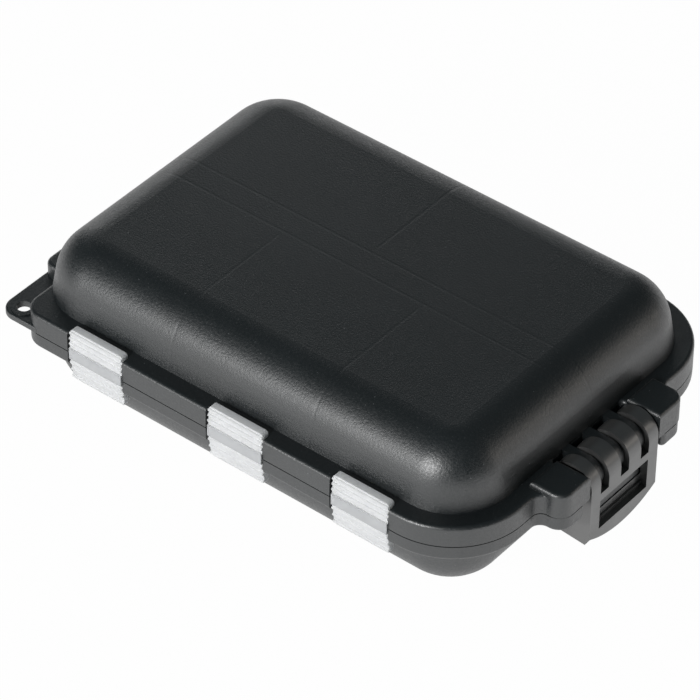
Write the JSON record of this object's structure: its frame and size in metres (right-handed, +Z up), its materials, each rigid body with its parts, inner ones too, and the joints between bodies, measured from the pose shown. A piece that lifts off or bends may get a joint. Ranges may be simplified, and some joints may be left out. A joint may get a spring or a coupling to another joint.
{
  "type": "terminal tackle box",
  "caption": "Pocket tackle box of two domed half shells, with strip hinges, an end latch, a lanyard tab and clear flaps over its compartments.",
  "frame": {"origin": "under the middle of the closed box, on the surface it stands on", "axes": "+X along the long side towards the latch, +Y away from the strip hinges, +Z up"},
  "size_m": [0.119, 0.0809, 0.0344],
  "materials": {
    "shell_black": "fine grained black polypropylene, soft sheen",
    "latch_black": "smooth satin black plastic",
    "strip_white": "natural white polypropylene, satin",
    "flap_clear": "clear glossy plastic"
  },
  "bodies": {
    "base": {"base_shell": "shell_black", "strip_1_base_leaf": "strip_white", "strip_2_base_leaf": "strip_white", "strip_3_base_leaf": "strip_white"},
    "lid": {"lid_shell": "shell_black", "strip_1_lid_leaf": "strip_white", "strip_2_lid_leaf": "strip_white", "strip_3_lid_leaf": "strip_white"},
    "latch": {"latch": "latch_black"},
    "base_near_flap_1_body": {"base_near_flap_1": "flap_clear"},
    "base_near_flap_2_body": {"base_near_flap_2": "flap_clear"},
    "base_near_flap_3_body": {"base_near_flap_3": "flap_clear"},
    "base_far_flap_1_body": {"base_far_flap_1": "flap_clear"},
    "base_far_flap_2_body": {"base_far_flap_2": "flap_clear"},
    "lid_near_flap_1_body": {"lid_near_flap_1": "flap_clear"},
    "lid_near_flap_2_body": {"lid_near_flap_2": "flap_clear"},
    "lid_near_flap_3_body": {"lid_near_flap_3": "flap_clear"},
    "lid_far_flap_1_body": {"lid_far_flap_1": "flap_clear"},
    "lid_far_flap_2_body": {"lid_far_flap_2": "flap_clear"}
  },
  "joints": [
    {"name": "lid_hinge", "type": "hinge", "parent": "base", "child": "lid", "pos_m": [0, -0.0406, 0.0172], "axis": [1, 0, 0], "range_deg": [0, 180]},
    {"name": "latch_pivot", "type": "hinge", "parent": "lid", "child": "latch", "pos_m": [0.055, 0, 0.01845], "axis": [0, -1, 0], "range_deg": [0, 120]},
    {"name": "base_near_flap_1_hinge", "type": "hinge", "parent": "base", "child": "base_near_flap_1_body", "pos_m": [0, -0.0332, 0.0162], "axis": [1, 0, 0], "range_deg": [0, 90]},
    {"name": "base_near_flap_2_hinge", "type": "hinge", "parent": "base", "child": "base_near_flap_2_body", "pos_m": [0, -0.0332, 0.0162], "axis": [1, 0, 0], "range_deg": [0, 90]},
    {"name": "base_near_flap_3_hinge", "type": "hinge", "parent": "base", "child": "base_near_flap_3_body", "pos_m": [0, -0.0332, 0.0162], "axis": [1, 0, 0], "range_deg": [0, 90]},
    {"name": "base_far_flap_1_hinge", "type": "hinge", "parent": "base", "child": "base_far_flap_1_body", "pos_m": [0, 0.0332, 0.0162], "axis": [-1, 0, 0], "range_deg": [0, 90]},
    {"name": "base_far_flap_2_hinge", "type": "hinge", "parent": "base", "child": "base_far_flap_2_body", "pos_m": [0, 0.0332, 0.0162], "axis": [-1, 0, 0], "range_deg": [0, 90]},
    {"name": "lid_near_flap_1_hinge", "type": "hinge", "parent": "lid", "child": "lid_near_flap_1_body", "pos_m": [0, -0.0332, 0.0182], "axis": [-1, 0, 0], "range_deg": [0, 90]},
    {"name": "lid_near_flap_2_hinge", "type": "hinge", "parent": "lid", "child": "lid_near_flap_2_body", "pos_m": [0, -0.0332, 0.0182], "axis": [-1, 0, 0], "range_deg": [0, 90]},
    {"name": "lid_near_flap_3_hinge", "type": "hinge", "parent": "lid", "child": "lid_near_flap_3_body", "pos_m": [0, -0.0332, 0.0182], "axis": [-1, 0, 0], "range_deg": [0, 90]},
    {"name": "lid_far_flap_1_hinge", "type": "hinge", "parent": "lid", "child": "lid_far_flap_1_body", "pos_m": [0, 0.0332, 0.0182], "axis": [1, 0, 0], "range_deg": [0, 90]},
    {"name": "lid_far_flap_2_hinge", "type": "hinge", "parent": "lid", "child": "lid_far_flap_2_body", "pos_m": [0, 0.0332, 0.0182], "axis": [1, 0, 0], "range_deg": [0, 90]}
  ],
  "couplings": [
    {"joint": "base_near_flap_1_hinge", "follows": "lid_hinge", "ratio": 0.5},
    {"joint": "base_near_flap_2_hinge", "follows": "lid_hinge", "ratio": 0.5},
    {"joint": "base_near_flap_3_hinge", "follows": "lid_hinge", "ratio": 0.5},
    {"joint": "base_far_flap_1_hinge", "follows": "lid_hinge", "ratio": 0.5},
    {"joint": "base_far_flap_2_hinge", "follows": "lid_hinge", "ratio": 0.5},
    {"joint": "lid_near_flap_1_hinge", "follows": "lid_hinge", "ratio": 0.5},
    {"joint": "lid_near_flap_2_hinge", "follows": "lid_hinge", "ratio": 0.5},
    {"joint": "lid_near_flap_3_hinge", "follows": "lid_hinge", "ratio": 0.5},
    {"joint": "lid_far_flap_1_hinge", "follows": "lid_hinge", "ratio": 0.5},
    {"joint": "lid_far_flap_2_hinge", "follows": "lid_hinge", "ratio": 0.5}
  ]
}
